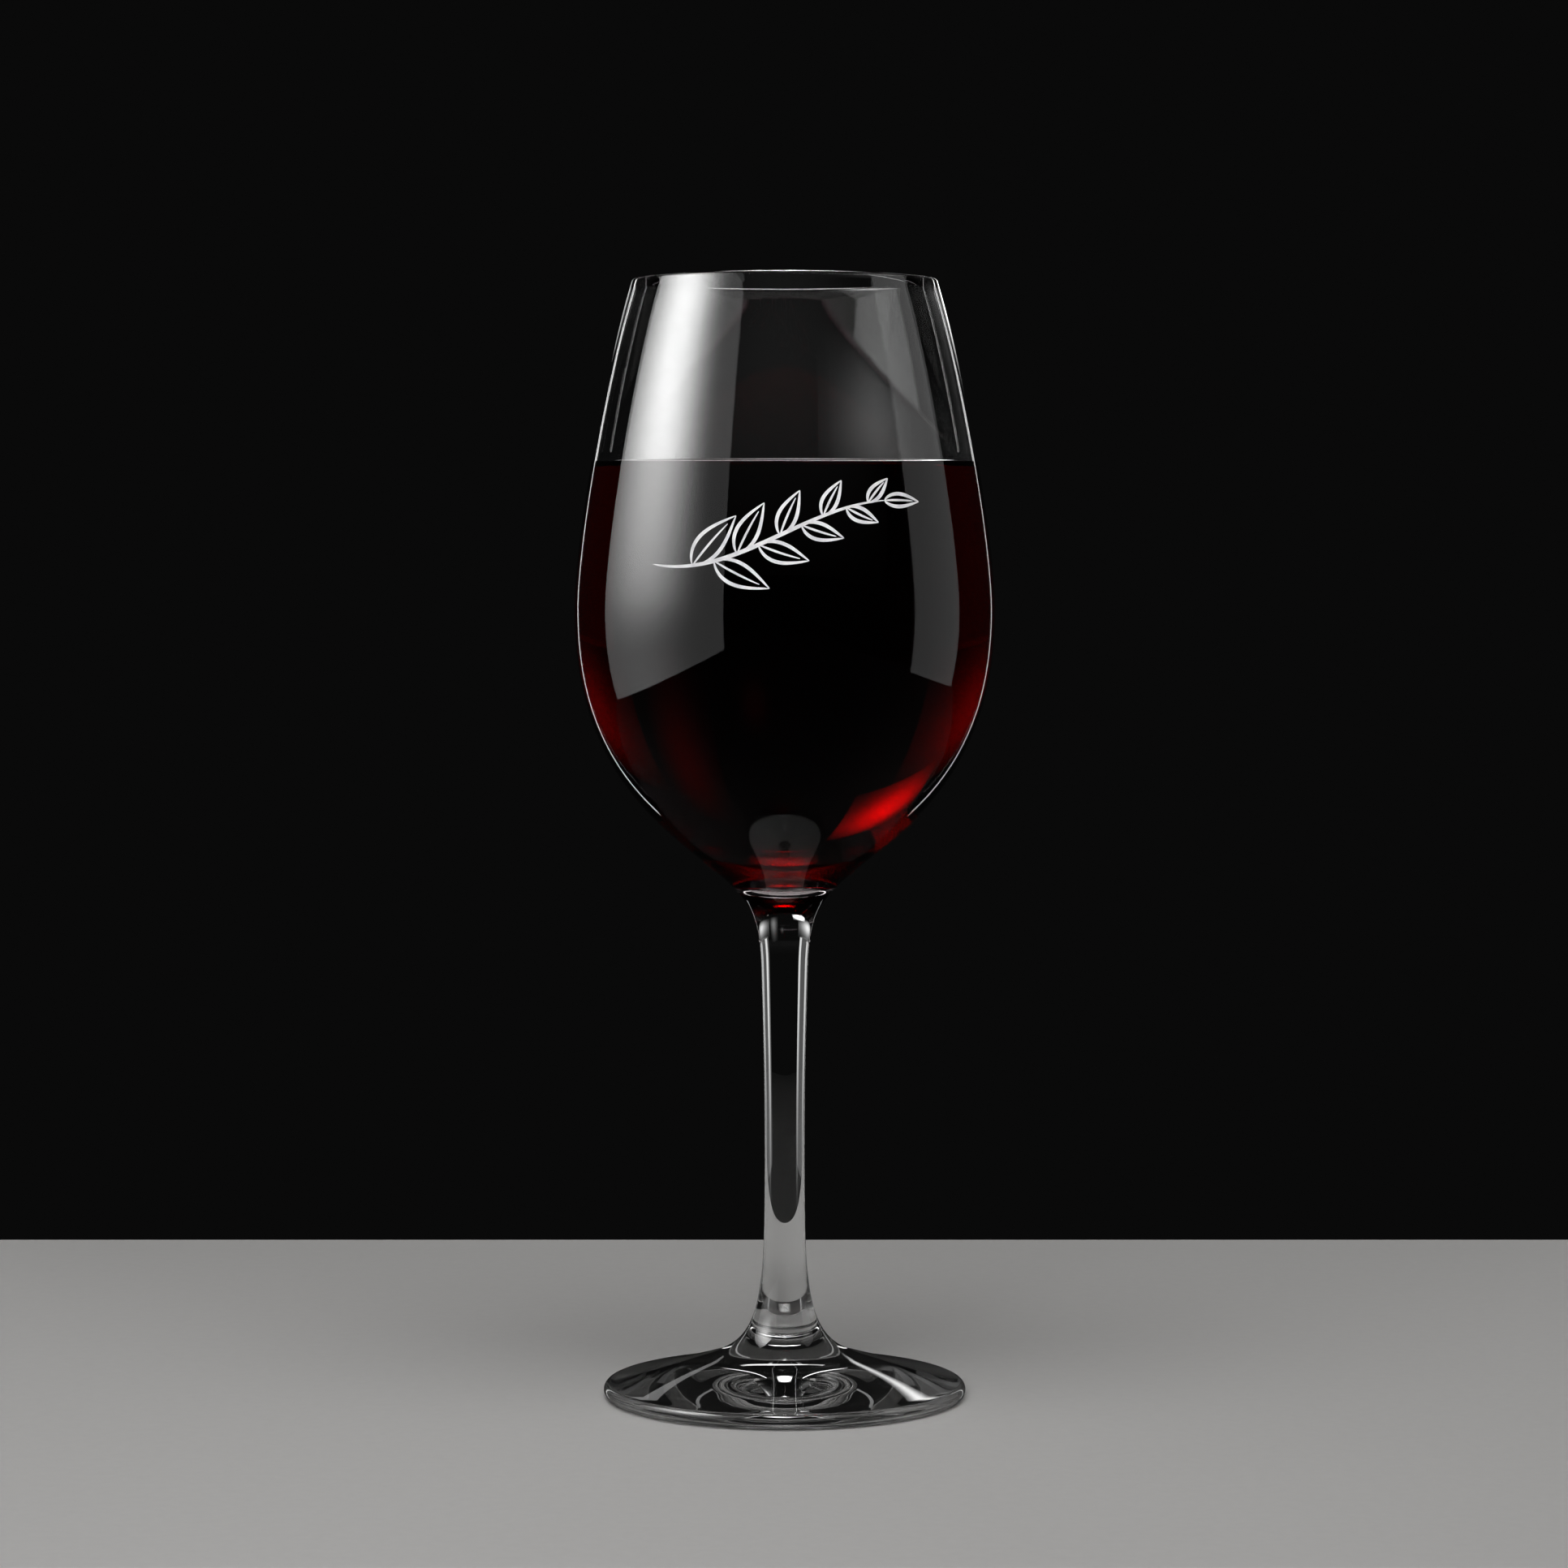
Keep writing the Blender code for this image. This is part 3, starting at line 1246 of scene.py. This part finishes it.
@dataclass(frozen=True)
class Studio:
    """The pale board, the dark room and the soft boxes round them."""

    board_low: Triple = (-0.60, -1.50, -0.0202)
    board_high: Triple = (0.60, 0.20, -0.0002)
    room: float = 0.003  # the brightness of the dark room

    def board(self) -> bpy.types.Object:
        """Make the board, with its top just under the foot and its far edge not far behind it.

        Returns:
            The board, which mirrored rays don't meet.
        """
        corners = np.array([(x, y, z) for z in (0, 1) for x, y in ((0, 0), (1, 0), (1, 1), (0, 1))])
        points = np.where(corners == 1, self.board_high, self.board_low)
        sides = [(k, (k + 1) % 4, (k + 1) % 4 + 4, k + 4) for k in range(4)]
        surface = Surface(points, np.array([(3, 2, 1, 0), (4, 5, 6, 7), *sides]))
        piece = make_piece("pale_board", surface, [PaleFloor().material()])
        piece.data.set_sharp_from_angle(angle=CREASE)
        piece.visible_glossy = False
        return piece

    def build(self) -> None:
        """Lay the board, darken the room and hang the soft boxes."""
        self.board()
        world = bpy.data.worlds.new("dim room")
        bpy.context.scene.world = world
        world.use_nodes = True
        recipe = Recipe(world.node_tree)
        room = recipe.add("ShaderNodeBackground", inputs={"Color": grey(1.0), "Strength": self.room})
        recipe.add("ShaderNodeOutputWorld", inputs={"Surface": room})
        for box in (*mirrored_boxes(), *boxes_behind(), *stem_strips(), *high_panels(), *matt_lights()):
            box.build()


@dataclass(frozen=True)
class Eye:
    """The camera, a little above the widest part of the bowl and looking slightly down."""

    place: Triple = (-0.00013, -0.8613, 0.1653)
    pitch_down: float = 2.926  # degrees
    focal_pixels: float = 5400.0
    sensor: float = 36.0  # millimetres
    nearest: float = 0.01
    farthest: float = 20.0

    def build(self) -> None:
        """Set the camera up and make it the scene's."""
        lens = bpy.data.cameras.new("eye")
        lens.sensor_width = self.sensor
        lens.lens = self.sensor * self.focal_pixels / IMAGE_SIDE
        lens.clip_start = self.nearest
        lens.clip_end = self.farthest
        camera = bpy.data.objects.new("eye", lens)
        camera.location = self.place
        camera.rotation_euler = (math.radians(90.0 - self.pitch_down), 0.0, 0.0)
        bpy.context.scene.collection.objects.link(camera)
        bpy.context.scene.camera = camera


def set_up_view() -> None:
    """Plain colours on screen, and enough bounces for nested glass."""
    scene = bpy.context.scene
    scene.view_settings.view_transform = "Standard"
    scene.cycles.max_bounces = BOUNCES
    scene.cycles.glossy_bounces = BOUNCES
    scene.cycles.transmission_bounces = BOUNCES
    scene.cycles.caustics_reflective = True
    scene.cycles.caustics_refractive = True


def place_piece(piece: bpy.types.Object, node: str | None = None) -> None:
    """Let a piece ride on the body.

    Args:
        piece: The finished piece.
        node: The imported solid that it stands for, if any.
    """
    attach(piece, BODY)
    if node is not None:
        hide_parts(node)
    LOG.info("%s: %d faces", piece.name, len(piece.data.polygons))


def main() -> None:
    """Build the pieces in order and set up the studio."""
    logging.basicConfig(level=logging.INFO, format="%(name)s %(message)s")
    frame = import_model()
    LOG.info("frame: %s", ", ".join(sorted(frame["nodes"])))
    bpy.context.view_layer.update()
    Eye().build()
    set_up_view()
    glass = Crystal()
    wine = Wine(glass)
    place_piece(glass.build(wine.contact()), "wine_glass")
    place_piece(wine.build(), "red_wine")
    place_piece(Sprig(glass).build())
    Studio().build()


if __name__ == "__main__":
    main()
